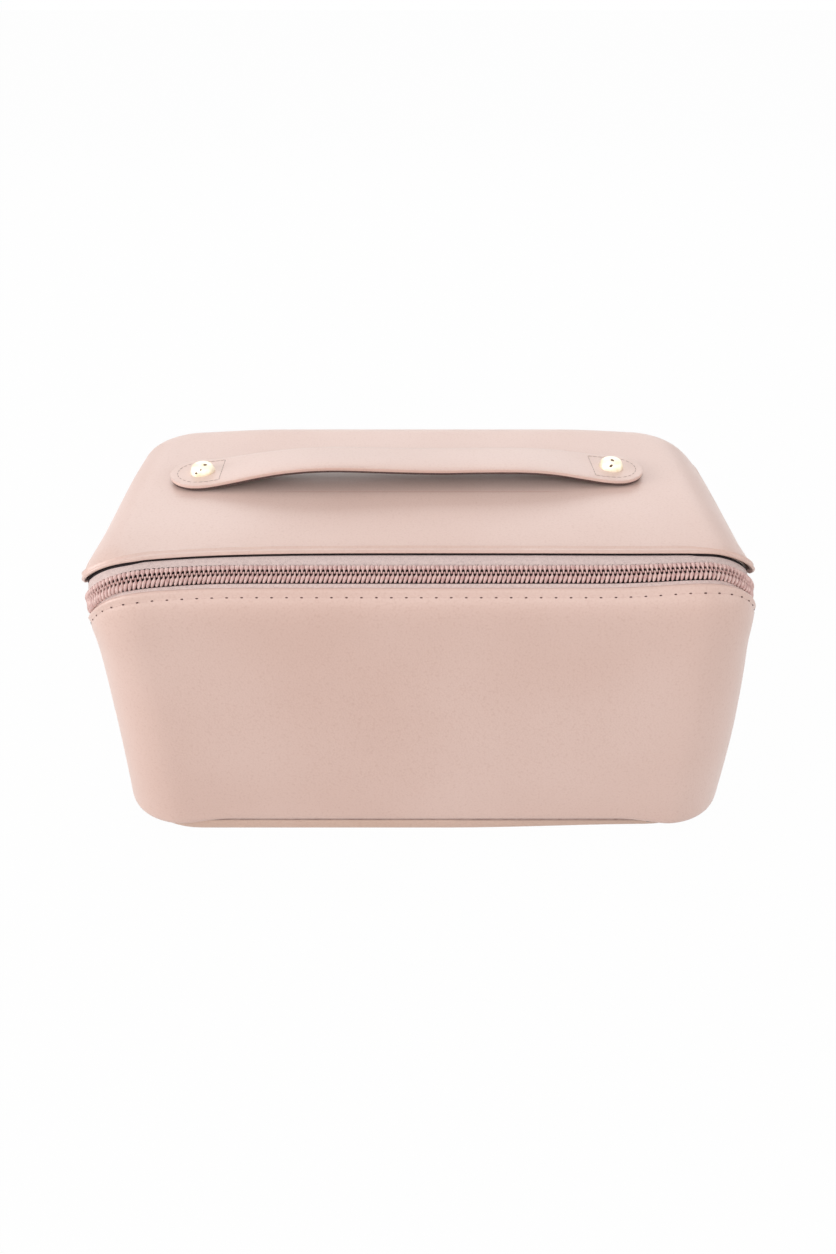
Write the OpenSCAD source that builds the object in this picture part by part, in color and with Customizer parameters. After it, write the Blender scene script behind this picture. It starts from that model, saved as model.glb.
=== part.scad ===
// Soft travel case for make-up: a leather-covered tub, a zipped lid that folds back on
// a leather hinge, a strap handle, and a brush tray with a clear dust flap under the lid.
// Millimetres. Origin at the centre of the underside, +X to the right, +Y to the back, +Z up.

/* [Case] */
// Width of the tub over its side walls
case_w = 226; // [210:1:270]
// Depth of the tub from front wall to back wall
case_d = 132; // [122:1:160]
// Height from the table to the top of the lid
case_h = 109; // [104:1:140]
// Radius of the upright corners
corner_r = 24; // [22:1:30]
// Radius of the roll between the walls and the lid top
roll_r = 16; // [13:0.5:18]

/* [Walls] */
// Thickness of the leather cover
cover_t = 1.2; // [0.8:0.1:1.6]
// Thickness of the foam sheet behind the cover
foam_t = 2; // [1.2:0.1:2.6]
// Thickness of the polyester lining
lining_t = 0.6; // [0.4:0.1:1]
// Glue line between two layers
layer_gap = 0.1; // [0.05:0.05:0.2]
// Width of the leather binding inside the mouth and the lid
binding_w = 8; // [5:0.5:10]
// Thickness of the leather binding inside the mouth and the lid
binding_t = 0.8; // [0.5:0.1:1.2]

/* [Base] */
// Height of the base panel's turned-up edge
base_h = 4; // [3:0.5:6]
// Setback of the base panel from the tub walls
base_inset = 1.7; // [1:0.1:2.5]

/* [Zip] */
// Drop of the zip's centre line along the sides, below the top of the lid
zip_drop = 21; // [20:0.5:28]
// Place of the zip's centre line on the front roll, in degrees up from the front
zip_roll_angle = 60; // [54:1:64]
// Free tape between the centre line and the lid rim, along the sides
rim_rise = 5; // [5:0.1:6.5]
// Free tape between the centre line and the tub edge, along the sides
edge_drop = 4.5; // [4.5:0.1:6]
// Width of the closed coil chain
chain_w = 6; // [5:0.1:7]
// Height of the coil above its tape
coil_t = 1.7; // [1.2:0.1:2]
// Thickness of the woven tape
tape_t = 0.6; // [0.4:0.1:0.8]
// Tape hidden under the cover for sewing
tape_seam_w = 4.5; // [3:0.5:6]
// Slot between the two coil halves that the slider necks run in
chain_slot = 1.2; // [1:0.1:1.6]
// Half width of the back wall's leather fold, where the zip stops
zip_end_x = 84; // [70:1:86]
// Width of the piped rim round the lid
rim_w = 5; // [4:0.5:6]
// Height of the piped rim above the cover
rim_t = 0.8; // [0.5:0.1:1.2]

/* [Hinge] */
// Height of each half of the leather fold strip at the back
fold_h = 10; // [6:0.5:14]
// Thickness of the leather fold strip
fold_t = 0.8; // [0.6:0.1:1.2]
// Open line at the crease between the two halves
crease_gap = 0.6; // [0.4:0.1:1]

/* [Sliders] */
// Length of a slider body
slider_l = 12; // [10:0.5:14]
// Width of a slider body
slider_w = 8; // [7.4:0.1:8.8]
// Thickness of a slider's two plates
plate_t = 1.1; // [0.8:0.1:1.3]
// Play between the slider and the chain
slider_play = 0.25; // [0.15:0.05:0.3]
// Distance between the two sliders where they meet
slider_gap = 1.5; // [1:0.5:4]
// Place of the meeting point behind the middle of the side
slider_meet_y = 14; // [0:1:16]
// Length of a pull from its pivot to its tip
pull_l = 25; // [18:1:27]
// Width of a pull's tab
pull_w = 7; // [5:0.5:8]
// Thickness of a pull
pull_t = 1.2; // [1:0.1:1.4]

/* [Handle] */
// Length of the strap from tip to tip
strap_l = 172; // [150:1:180]
// Width of the strap
strap_w = 22; // [18:1:28]
// Thickness of the strap's outer leather
strap_t = 1.4; // [1:0.1:1.8]
// Thickness of the strap's backing leather
strap_back_t = 1; // [0.8:0.1:1.4]
// Height of the strap's highest point above the lid
strap_rise = 8; // [7:0.5:14]
// Distance from the strap's tip to its stud
stud_edge = 9.5; // [8:0.5:14]
// Diameter of a stud's head
stud_d = 9; // [7:0.5:11]
// Diameter of a stud's post
post_d = 3.2; // [2.5:0.1:4]
// Diameter of the washer behind a stud
washer_d = 11; // [9:0.5:13]
// Setback of the strap's centre line behind the middle of the lid
strap_setback = 10; // [0:1:14]

/* [Brush tray] */
// Thickness of the brush board
board_t = 2.4; // [1.6:0.1:3]
// Number of elastic loops
loop_count = 6; // [4:1:7]
// Width of the elastic band along a brush
loop_l = 26; // [18:1:32]
// Inside height of a loop
loop_h = 6; // [5:0.5:6.5]
// Thickness of the elastic band
loop_t = 1; // [0.8:0.1:1.2]
// Length of the clear dust flap from its hinge
flap_l = 70; // [55:1:72]
// Thickness of the clear sheet
flap_t = 0.6; // [0.4:0.1:0.8]
// Width of the binding round the flap
flap_bind_w = 5; // [3:0.5:7]

/* [Dividers] */
// Distance from the start of the corner's curve to each divider
divider_inset = 5; // [5:0.5:12]
// Thickness of a padded divider
divider_t = 4; // [3:0.5:5]
// Height of a divider
divider_h = 58; // [40:1:62]
// Length of the hook strips that hold a divider to the lining
hook_l = 15; // [10:1:15]
// Thickness of a hook strip
hook_t = 1; // [0.8:0.1:1.4]

/* [Hidden] */
$fn = 64;

leather_c = "#d9beb3";
lining_c = "#b79a91";
foam_c = "#e9e6e0";
board_c = "#8d8781";
tape_c = "#c9a9a3";
coil_c = "#d8b3ad";
gold_c = "#e3cfa0";
clear_c = "#e8eef0";
hook_c = "#cdb9b2";
elastic_c = "#a98b84";

eps = 0.01;
far = 400; // reaches past the case from any of its faces

// Depths of the layers, measured inwards from the outside of the cover.
foam_in = cover_t + layer_gap;
lining_in = foam_in + foam_t + layer_gap;
room_in = lining_in + lining_t; // the free room starts here
binding_in = room_in + layer_gap;
tape_in = cover_t + layer_gap;
tape_out = tape_in + tape_t;
coil_in = tape_in - layer_gap;
coil_out = coil_in - coil_t; // below zero: the coil stands proud of the cover
wall_z = base_h + layer_gap;

zip_z = case_h - zip_drop;

// Seams of the layers where they stop short of the tape.
foam_stop = tape_seam_w + 1;
lining_stop = 0.3;

// The three lines round the case, each [y, z, slope down, height along the sides], from the
// point where it crosses the front roll. They are parallel within the width of the tape.
function on_roll(a) = [roll_r * (1 - cos(a)), case_h - roll_r * (1 - sin(a))];
rim_slope = 74;
chain_slope = 66;
edge_slope = 58;
rim_roll_angle = zip_roll_angle + 22;
edge_roll_angle = zip_roll_angle - 21;
rim_line = concat(on_roll(rim_roll_angle), [rim_slope, zip_z + rim_rise]);
chain_line = concat(on_roll(zip_roll_angle), [chain_slope, zip_z]);
edge_line = concat(on_roll(edge_roll_angle), [edge_slope, zip_z - edge_drop]);
knee_r = 12; // where a line turns from the corner into the side

// Hinge line of the lid, at the outside of the fold strip.
hinge_y = case_d + fold_t;

// Slider section, from the chain outwards and inwards.
plate_top = coil_out - slider_play;
plate_under = tape_out + slider_play;
crown_air = pull_t + 2 * slider_play;
crown_t = 1;
crown_w = 2;
neck_w = chain_slot - 0.3;
pull_axis = plate_top - plate_t - slider_play - pull_t / 2;
slider_y = [for (s = [-1, 1]) case_d / 2 + slider_meet_y + s * (slider_l + slider_gap) / 2];

// Handle.
strap_y = case_d / 2 + strap_setback;
strap_stack = strap_t + strap_back_t + layer_gap;
strap_z = case_h + layer_gap;
stud_x = strap_l / 2 - stud_edge;
strap_flat = stud_edge + stud_d; // each end lies flat this far in from its tip
arch_l = strap_l - 2 * strap_flat;
arch_steps = 32;
post_r = post_d / 2;
post_play = 0.1;
washer_t = 1;
washer_z = case_h - foam_in - foam_t;

// Brush tray.
lid_room_z = case_h - room_in; // underside of the lid lining
board_top = lid_room_z - layer_gap;
board_z = board_top - board_t;
divider_x = case_w / 2 - corner_r - divider_inset;
flap_w = 2 * (divider_x - divider_t / 2 - 2);
board_w = flap_w + 12;
rail_w = 3;
board_y0 = roll_r + binding_w + 0.5;
flap_hinge_y = board_y0 + rail_w + 1.2;
flap_air = 0.4;
loop_drop = loop_h + loop_t;
flap_bind_t = flap_t + 1;
flap_axis_z = board_z - layer_gap - loop_drop - flap_air - flap_bind_t / 2;
flap_y1 = flap_hinge_y + flap_l;
strip_l = 8; // hook and loop tape along the flap's free end
strip_t = 0.6;
board_y1 = flap_y1 + rail_w;
loop_outer = 20;
loop_pitch = (board_w - 10) / loop_count;
loops_y = (flap_hinge_y + flap_y1 - loop_l) / 2;

// Dividers.
hook_gap = 0.3; // play between a hook strip and the lining
divider_y0 = room_in + hook_gap + hook_t + layer_gap;
divider_z = wall_z + lining_t + hook_gap;
divider_round = 10;

// ---- shapes that repeat ----

// Moves a shape drawn with its front wall on y = 0 to the case's own frame.
module placed() {
  translate([0, -case_d / 2, 0]) children();
}

// Upright arch outline: square at the foot, rounded with r at both shoulders.
module arch_outline(x0, x1, z0, top, r) {
  translate([x0, z0]) square([x1 - x0, top - r - z0]);
  translate([x0 + r, z0]) square([x1 - x0 - 2 * r, top - z0]);
  for (x = [x0 + r, x1 - r]) translate([x, top - r]) circle(r);
}

// Half of that outline, from the axis of a corner outwards.
module corner_outline(reach, z0, top, r) {
  translate([0, z0]) square([reach, top - r - z0]);
  translate([0, z0]) square([reach - r, top - z0]);
  intersection() {
    translate([reach - r, top - r]) circle(r);
    translate([reach - r, top - r]) square(r);
  }
}

// The case's outer form, set inwards by `inset` on every face, standing on z0.
module form(inset, z0 = wall_z) {
  top = case_h - inset;
  r = roll_r - inset;
  rotate([90, 0, 90]) linear_extrude(case_w - 2 * corner_r, center = true)
    arch_outline(inset, case_d - inset, z0, top, r);
  translate([0, case_d - corner_r, 0]) rotate([90, 0, 0]) linear_extrude(case_d - 2 * corner_r)
    arch_outline(-case_w / 2 + inset, case_w / 2 - inset, z0, top, r);
  for (x = [-1, 1], y = [corner_r, case_d - corner_r])
    translate([x * (case_w / 2 - corner_r), y, 0])
      rotate_extrude() corner_outline(corner_r - inset, z0, top, r);
}

// One layer of the wall between two depths.
module layer(outside, inside, z0 = wall_z) {
  difference() {
    form(outside, z0);
    form(inside, z0 - 1);
  }
}

// Everything on the lid's side of a line that is moved `rise` towards the lid.
module above(line, rise = 0) {
  slope = line[2];
  side_z = line[3] + rise;
  y = line[0] + rise * sin(slope);
  z = line[1] + rise * cos(slope);
  knee = [y + (z - side_z) / tan(slope), side_z];
  up = [-cos(slope), sin(slope)];
  r = knee_r - rise;
  run = r * tan(slope / 2);
  centre = knee + [run, r];
  rotate([90, 0, 90]) linear_extrude(case_w + 40, center = true)
    difference() {
      polygon([knee, knee + far * up, [far, far], [far, side_z]]);
      difference() {
        polygon([knee - [1, 1], knee + [run, -1], knee + [run, 0], centre, knee + run * up,
          knee + run * up - [1, 0]]);
        translate(centre) circle(r);
      }
    }
}

// The strip between two lines.
module band(low_line, low_rise, high_line, high_rise) {
  difference() {
    above(low_line, low_rise);
    above(high_line, high_rise);
  }
}

// The middle of the back wall, where the leather runs on and there is no zip.
module back_middle(half = zip_end_x) {
  translate([-half, case_d - corner_r / 2, 0]) cube([2 * half, corner_r, case_h]);
}

// A wall layer that belongs to the lid: above `rise` over the rim, and down to the crease at the back.
module lid_layer(outside, inside, rise = 0) {
  intersection() {
    layer(outside, inside);
    union() {
      above(rim_line, rise);
      intersection() {
        back_middle();
        translate([0, 0, crease_gap / 2]) above(chain_line);
      }
    }
  }
}

// A wall layer that belongs to the tub: below `drop` under the edge, and up to the crease at the back.
module tub_layer(outside, inside, drop = 0) {
  difference() {
    layer(outside, inside);
    difference() {
      above(edge_line, -drop);
      back_middle();
    }
    translate([0, 0, -crease_gap / 2]) above(chain_line);
  }
}

// ---- tub ----

module tub_cover() {
  color(leather_c) placed() tub_layer(0, cover_t);
}

module tub_foam() {
  color(foam_c) placed() difference() {
    layer(foam_in, foam_in + foam_t);
    above(edge_line, -foam_stop);
  }
}

module tub_lining() {
  color(lining_c) placed() {
    difference() {
      form(lining_in);
      form(room_in, wall_z + lining_t);
      above(edge_line, -lining_stop);
    }
  }
}

module mouth_binding() {
  color(leather_c) placed() intersection() {
    layer(binding_in, binding_in + binding_t);
    band(edge_line, -binding_w, edge_line, -lining_stop);
  }
}

// Outline of the base, set inwards.
module base_outline(inset) {
  r = corner_r - inset;
  translate([-case_w / 2 + corner_r, inset]) square([case_w - 2 * corner_r, case_d - 2 * inset]);
  translate([-case_w / 2 + inset, corner_r]) square([case_w - 2 * inset, case_d - 2 * corner_r]);
  for (x = [-1, 1], y = [corner_r, case_d - corner_r])
    translate([x * (case_w / 2 - corner_r), y]) circle(r);
}

module base_panel() {
  color(leather_c) placed() difference() {
    linear_extrude(base_h) base_outline(base_inset);
    translate([0, 0, cover_t]) linear_extrude(base_h) base_outline(base_inset + cover_t);
  }
}

module base_board() {
  color(board_c) placed() translate([0, 0, cover_t + layer_gap])
    linear_extrude(base_h - cover_t - layer_gap) base_outline(base_inset + cover_t + layer_gap);
}

// One half of the leather strip that folds at the crease.
module fold_half(z0) {
  translate([-zip_end_x + 4, case_d + eps, z0]) cube([2 * zip_end_x - 8, fold_t - eps, fold_h]);
}

module back_fold_lower() {
  color(leather_c) placed() fold_half(zip_z - crease_gap / 2 - fold_h);
}

// ---- zip ----

// One half of the zip's tape or coil, left out where the back wall is plain leather.
module zip_part(outside, inside, low_line, low_rise, high_line, high_rise) {
  difference() {
    intersection() {
      layer(outside, inside);
      band(low_line, low_rise, high_line, high_rise);
    }
    back_middle(zip_end_x + 0.5);
  }
}

module zip_tape_lower() {
  color(tape_c) placed()
    zip_part(tape_in, tape_out, edge_line, -tape_seam_w, chain_line, -chain_slot / 2);
}

module zip_coil_lower() {
  color(coil_c) placed()
    zip_part(coil_out, coil_in, chain_line, -chain_w / 2, chain_line, -chain_slot / 2);
}

module zip_tape_upper() {
  color(tape_c) placed()
    zip_part(tape_in, tape_out, chain_line, chain_slot / 2, rim_line, tape_seam_w);
}

module zip_coil_upper() {
  color(coil_c) placed()
    zip_part(coil_out, coil_in, chain_line, chain_slot / 2, chain_line, chain_w / 2);
}

// Crimped stops on the lower coil, beside the end of the leather fold.
module zip_end_stops() {
  stop = [2, coil_t, chain_w / 2 - chain_slot / 2];
  color(gold_c) placed()
    for (s = [-1, 1])
      translate([s * (zip_end_x - 1.6) - stop[0] / 2, case_d + eps, zip_z - chain_w / 2])
        cube([stop[0], fold_t - eps, stop[2]]);
}

// ---- lid ----

// Bores for the two stud posts, through everything between z0 and z1.
module post_bores(z0, z1) {
  for (s = [-1, 1])
    translate([s * stud_x, strap_y, z0]) cylinder(r = post_r + post_play, h = z1 - z0);
}

module lid_cover() {
  color(leather_c) placed() difference() {
    lid_layer(0, cover_t);
    post_bores(case_h - cover_t - 1, case_h + 1);
  }
}

module lid_foam() {
  color(foam_c) placed() difference() {
    intersection() {
      layer(foam_in, foam_in + foam_t);
      above(rim_line, foam_stop);
    }
    post_bores(case_h - lining_in - 1, case_h);
    translate([0, 0, -layer_gap]) washers(washer_d / 2 + layer_gap, washer_t + 2 * layer_gap);
  }
}

module lid_lining() {
  color(lining_c) placed() intersection() {
    layer(lining_in, room_in);
    above(rim_line, lining_stop);
  }
}

module lid_rim() {
  color(leather_c) placed() difference() {
    intersection() {
      layer(-rim_t, 0);
      band(rim_line, 0, rim_line, rim_w);
    }
    back_middle();
  }
}

module lid_binding() {
  color(leather_c) placed() intersection() {
    layer(binding_in, binding_in + binding_t);
    band(rim_line, lining_stop, rim_line, binding_w);
  }
}

module back_fold_upper() {
  color(leather_c) placed() fold_half(zip_z + crease_gap / 2);
}

// ---- handle ----

// Height of the strap over the lid: an easy rise at both ends, highest left of the middle.
function ease(t) = let (k = min(1, max(0, t))) k * k * (3 - 2 * k);
function lift(x) =
  let (u = x / arch_l + 0.5)
  strap_rise * ease(u / 0.36) * ease((1 - u) / 0.4) * (1.12 - 0.42 * u);

// Side view of a strap layer between two heights above the lid.
module strap_side(low, high) {
  steps = [for (i = [0 : arch_steps]) arch_l * (i / arch_steps - 0.5)];
  xs = concat([-strap_l / 2], steps, [strap_l / 2]);
  polygon(concat([for (x = xs) [x, lift(x) + low]],
    [for (i = [len(xs) - 1 : -1 : 0]) [xs[i], lift(xs[i]) + high]]));
}

// A strap layer cut to its rounded outline.
module strap_layer(low, high, margin) {
  difference() {
    intersection() {
      translate([0, strap_y + strap_w, strap_z]) rotate([90, 0, 0])
        linear_extrude(2 * strap_w) strap_side(low, high);
      translate([0, strap_y, case_h]) linear_extrude(strap_rise + strap_stack + 1)
        strap_outline(margin);
    }
    post_bores(case_h - 1, strap_z + strap_stack + 1);
  }
}

// Plan of the strap, with round tips.
module strap_outline(margin) {
  r = strap_w / 2 - margin;
  square([strap_l - strap_w, 2 * r], center = true);
  for (s = [-1, 1]) translate([s * (strap_l - strap_w) / 2, 0]) circle(r);
}

module handle_strap() {
  color(leather_c) placed() strap_layer(strap_back_t + layer_gap, strap_stack, 0);
}

module handle_backing() {
  color(leather_c) placed() strap_layer(0, strap_back_t, 0.4);
}

// Domed heads with the posts that pass through the strap and the lid.
module handle_studs() {
  head_h = stud_d * 0.33;
  head_z = strap_z + strap_stack + layer_gap;
  ball_r = (stud_d * stud_d / 4 + head_h * head_h) / (2 * head_h);
  post_z = case_h - lining_in + layer_gap / 2;
  color(gold_c) placed() for (s = [-1, 1]) translate([s * stud_x, strap_y, 0]) {
    translate([0, 0, head_z]) rotate_extrude() intersection() {
      translate([0, head_h - ball_r]) circle(ball_r);
      square([stud_d / 2, head_h]);
    }
    translate([0, 0, post_z]) cylinder(r = post_r, h = head_z - post_z + eps);
  }
}

// Washers let into the underside of the foam, which the posts are riveted over.
module stud_washers() {
  color(gold_c) placed() difference() {
    washers(washer_d / 2, washer_t);
    post_bores(washer_z - 1, washer_z + washer_t + 1);
  }
}

module washers(r, h) {
  for (s = [-1, 1]) translate([s * stud_x, strap_y, washer_z]) cylinder(r = r, h = h);
}

// ---- brush tray ----

module brush_board() {
  color(lining_c) placed() translate([-board_w / 2, board_y0, board_z])
    cube([board_w, board_y1 - board_y0, board_t]);
}

// One elastic band sewn down between its loops, seen along a brush. Y points down.
module loops_profile() {
  w = board_w - 8;
  difference() {
    union() {
      translate([-w / 2, 0]) square([w, loop_t]);
      for (i = [0 : loop_count - 1]) translate([(i + 0.5 - loop_count / 2) * loop_pitch, 0])
        loop_outline(loop_outer, loop_drop);
    }
    for (i = [0 : loop_count - 1]) translate([(i + 0.5 - loop_count / 2) * loop_pitch, -eps])
      loop_outline(loop_outer - 2 * loop_t, loop_h + eps);
  }
}

// A loop with rounded shoulders.
module loop_outline(w, h) {
  r = h * 0.5;
  translate([-w / 2, 0]) square([w, h - r]);
  translate([-w / 2 + r, 0]) square([w - 2 * r, h]);
  for (s = [-1, 1]) translate([s * (w / 2 - r), h - r]) circle(r);
}

module brush_loops() {
  color(elastic_c) placed() translate([0, loops_y, board_z - layer_gap])
    rotate([-90, 0, 0]) linear_extrude(loop_l) loops_profile();
}

// Padded rail that the flap is sewn to.
module flap_rail_front() {
  low = flap_axis_z - flap_bind_t / 2;
  color(leather_c) placed() translate([-flap_w / 2, board_y0, low])
    cube([flap_w, rail_w, board_z - layer_gap - low]);
}

// Padded rail that the flap's free end closes on.
module flap_rail_back() {
  color(leather_c) placed() {
    low = flap_axis_z + flap_bind_t / 2 + 2 * strip_t + 0.5;
    translate([-flap_w / 2, flap_y1 - strip_l, low])
      cube([flap_w, strip_l + rail_w, board_z - layer_gap - low]);
  }
}

module flap_loop_tape() {
  color(hook_c) placed()
    translate([-flap_w / 2 + 4, flap_y1 - strip_l, flap_axis_z + flap_bind_t / 2 + strip_t + 0.4])
      cube([flap_w - 8, strip_l, strip_t]);
}

// ---- dust flap ----

module dust_flap() {
  m = flap_bind_w - 2;
  color(clear_c) placed()
    translate([-flap_w / 2 + m, flap_hinge_y + m, flap_axis_z - flap_t / 2])
      cube([flap_w - 2 * m, flap_l - 2 * m, flap_t]);
}

// Folded binding on all four edges, with a round roll at the hinge.
module flap_binding() {
  m = flap_bind_w - 2;
  color(leather_c) placed() translate([0, flap_hinge_y, flap_axis_z]) difference() {
    union() {
      translate([-flap_w / 2, 0, -flap_bind_t / 2]) cube([flap_w, flap_l, flap_bind_t]);
      rotate([0, 90, 0]) cylinder(r = flap_bind_t / 2, h = flap_w, center = true);
    }
    translate([-flap_w / 2 + flap_bind_w, flap_bind_w, -flap_bind_t])
      cube([flap_w - 2 * flap_bind_w, flap_l - 2 * flap_bind_w, 2 * flap_bind_t]);
    translate([-flap_w / 2 + m - 0.1, m - 0.1, -flap_t / 2 - 0.05])
      cube([flap_w - 2 * m + 0.2, flap_l - 2 * m + 0.2, flap_t + 0.1]);
  }
}

module flap_hook_tape() {
  color(hook_c) placed()
    translate([-flap_w / 2 + 4, flap_y1 - strip_l, flap_axis_z + flap_bind_t / 2 + eps])
      cube([flap_w - 8, flap_bind_w, strip_t]);
}

// ---- sliders ----

// A slider's own frame: X out of the wall, Y along the chain towards its wide end, Z up.
module at_slider(i) {
  placed() translate([case_w / 2, slider_y[i], zip_z]) mirror([0, i, 0]) children();
}

module plate_outline() {
  translate([slider_l / 2 - slider_w / 2, 0]) circle(slider_w / 2);
  translate([-slider_l / 2, -slider_w * 0.44])
    square([slider_l - slider_w / 2, slider_w * 0.88]);
}

// A plate between two heights over the wall.
module slider_plate(x0, x1) {
  translate([x0, 0, 0]) rotate([90, 0, 90]) linear_extrude(x1 - x0) plate_outline();
}

module slider() {
  face = -plate_top + plate_t;
  leg = pull_t / 2 + slider_play;
  slider_plate(-plate_top, face);
  slider_plate(-plate_under - plate_t, -plate_under);
  // the neck that joins the plates, in the slot of the chain
  translate([-plate_under - eps, slider_l / 2 - 4, -neck_w / 2])
    cube([plate_under - plate_top + 2 * eps, 3.4, neck_w]);
  // the bridge that holds the pull
  difference() {
    translate([face - eps, -leg - crown_t, -crown_w / 2])
      cube([crown_air + crown_t, 2 * (leg + crown_t), crown_w]);
    translate([face, -leg, -crown_w]) cube([crown_air, 2 * leg, 2 * crown_w]);
  }
}

// A pull lying back along the closed chain, its bar under the bridge.
module pull() {
  r = pull_t / 2;
  slot_w = crown_w + 2 * slider_play;
  slot_l = pull_t + slider_play + crown_t + 1.2;
  translate([-pull_axis, 0, 0]) {
    cylinder(r = r, h = pull_w, center = true);
    translate([-r, 0, 0]) rotate([90, 0, 90]) linear_extrude(pull_t) difference() {
      union() {
        translate([-pull_l + pull_w / 2, -pull_w / 2]) square([pull_l - pull_w / 2, pull_w]);
        translate([-pull_l + pull_w / 2, 0]) circle(pull_w / 2);
      }
      translate([-slot_l, -slot_w / 2]) square([slot_l - r + 0.1, slot_w]);
      translate([-r, -slot_w / 2]) square([pull_t, slot_w]);
      translate([-pull_l + pull_w / 2, 0]) circle(1.5);
    }
  }
}

module slider_front() {
  color(gold_c) at_slider(0) slider();
}

module slider_back() {
  color(gold_c) at_slider(1) slider();
}

module pull_front() {
  color(gold_c) at_slider(0) pull();
}

module pull_back() {
  color(gold_c) at_slider(1) pull();
}

// ---- dividers ----

// A padded board with rounded top corners.
module divider(x) {
  color(lining_c) placed() translate([x, 0, divider_z]) rotate([90, 0, 90])
    linear_extrude(divider_t, center = true)
      arch_outline(divider_y0, case_d - divider_y0, 0, divider_h, divider_round);
}

// Hook strips folded out flat at both ends of a divider, facing the lining.
module divider_hooks(x) {
  h = divider_h - divider_round - 2;
  color(hook_c) placed() for (y = [room_in + hook_gap, case_d - room_in - hook_gap - hook_t])
    translate([x - hook_l / 2, y, divider_z]) cube([hook_l, hook_t, h]);
}

module divider_left() {
  divider(-divider_x);
}

module divider_right() {
  divider(divider_x);
}

module divider_hooks_left() {
  divider_hooks(-divider_x);
}

module divider_hooks_right() {
  divider_hooks(divider_x);
}

tub_cover();
tub_foam();
tub_lining();
mouth_binding();
base_panel();
base_board();
back_fold_lower();
zip_tape_lower();
zip_coil_lower();
zip_end_stops();
lid_cover();
lid_foam();
lid_lining();
lid_rim();
lid_binding();
back_fold_upper();
zip_tape_upper();
zip_coil_upper();
handle_strap();
handle_backing();
handle_studs();
stud_washers();
brush_board();
brush_loops();
flap_rail_front();
flap_rail_back();
dust_flap();
flap_binding();
flap_loop_tape();
flap_hook_tape();
slider_front();
slider_back();
pull_front();
pull_back();
divider_left();
divider_right();
divider_hooks_left();
divider_hooks_right();
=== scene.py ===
from math import ceil, copysign, cos, dist, exp, hypot, pi, radians, sin, sqrt, tan
import bpy
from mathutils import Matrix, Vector


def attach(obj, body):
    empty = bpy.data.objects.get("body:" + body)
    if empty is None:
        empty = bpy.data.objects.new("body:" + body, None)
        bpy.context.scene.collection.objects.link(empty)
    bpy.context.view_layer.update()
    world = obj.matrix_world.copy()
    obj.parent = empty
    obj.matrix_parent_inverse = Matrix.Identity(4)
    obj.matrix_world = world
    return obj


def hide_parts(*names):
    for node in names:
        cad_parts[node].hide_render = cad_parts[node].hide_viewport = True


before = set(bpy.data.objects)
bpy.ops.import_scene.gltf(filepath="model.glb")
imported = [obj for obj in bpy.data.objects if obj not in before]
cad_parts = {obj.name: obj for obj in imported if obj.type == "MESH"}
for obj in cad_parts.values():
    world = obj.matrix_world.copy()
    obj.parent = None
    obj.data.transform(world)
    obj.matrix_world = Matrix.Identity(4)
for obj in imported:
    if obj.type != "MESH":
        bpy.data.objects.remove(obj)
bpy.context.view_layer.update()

mm = 0.001
scene = bpy.context.scene
scene.view_settings.view_transform = "Standard"

# camera: in front of the case and above it, looking down on the lid
camera = {"lens": 29.04, "sensor": 36, "lookDown": 33.84, "place": (-1.1, -337.2, 273.0)}
bpy.ops.object.camera_add(
    location=Vector(camera["place"]) * mm, rotation=(radians(90 - camera["lookDown"]), 0, 0))
scene.camera = bpy.context.object
scene.camera.name = "caseCamera"
scene.camera.data.lens = camera["lens"]
scene.camera.data.sensor_width = camera["sensor"]
print("camera placed")


def leaveEdit():
    bpy.ops.object.mode_set(mode="OBJECT")


def deselectAll():
    if bpy.context.object and bpy.context.object.mode != "OBJECT":
        leaveEdit()
    bpy.ops.object.select_all(action="DESELECT")


def activate(piece):
    deselectAll()
    piece.select_set(True)
    bpy.context.view_layer.objects.active = piece


def editAll(piece, kind="VERT", action="SELECT"):
    activate(piece)
    bpy.ops.object.mode_set(mode="EDIT")
    bpy.ops.mesh.select_mode(type=kind)
    bpy.ops.mesh.select_all(action=action)


def settlePlace(piece):
    # the place, turn and size go into the mesh
    activate(piece)
    bpy.ops.object.transform_apply(location=True, rotation=True, scale=True)


def addModifier(piece, kind, **settings):
    activate(piece)
    modifier = piece.modifiers.new(kind, kind)
    for key, value in settings.items():
        setattr(modifier, key, value)
    bpy.ops.object.modifier_apply(modifier=modifier.name)


def easeEdges(piece, width, segments=2, angle=50):
    # rounds every edge that turns by more than the angle
    addModifier(piece, "BEVEL", width=width * mm, segments=segments, limit_method="ANGLE",
                angle_limit=radians(angle))


def thicken(piece, thickness):
    # inwards, from the outer face
    addModifier(piece, "SOLIDIFY", thickness=thickness * mm, offset=-1)


def smooth(piece, angle=45):
    activate(piece)
    bpy.ops.object.shade_smooth_by_angle(angle=radians(angle))


def finishPiece(piece, material, body, slot, *nodes):
    # its material, the body it rides on, its slot, which is not used, and the solids it stands for
    piece.data.materials.clear()
    piece.data.materials.append(material)
    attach(piece, body)
    if nodes:
        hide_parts(*nodes)
    return piece


def ease(t):
    k = min(1.0, max(0.0, t))
    return k * k * (3 - 2 * k)


def growth(at, start, span):
    # 0 up to the start, and 1 from one span beyond it
    return ease((at - start) / span)


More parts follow.
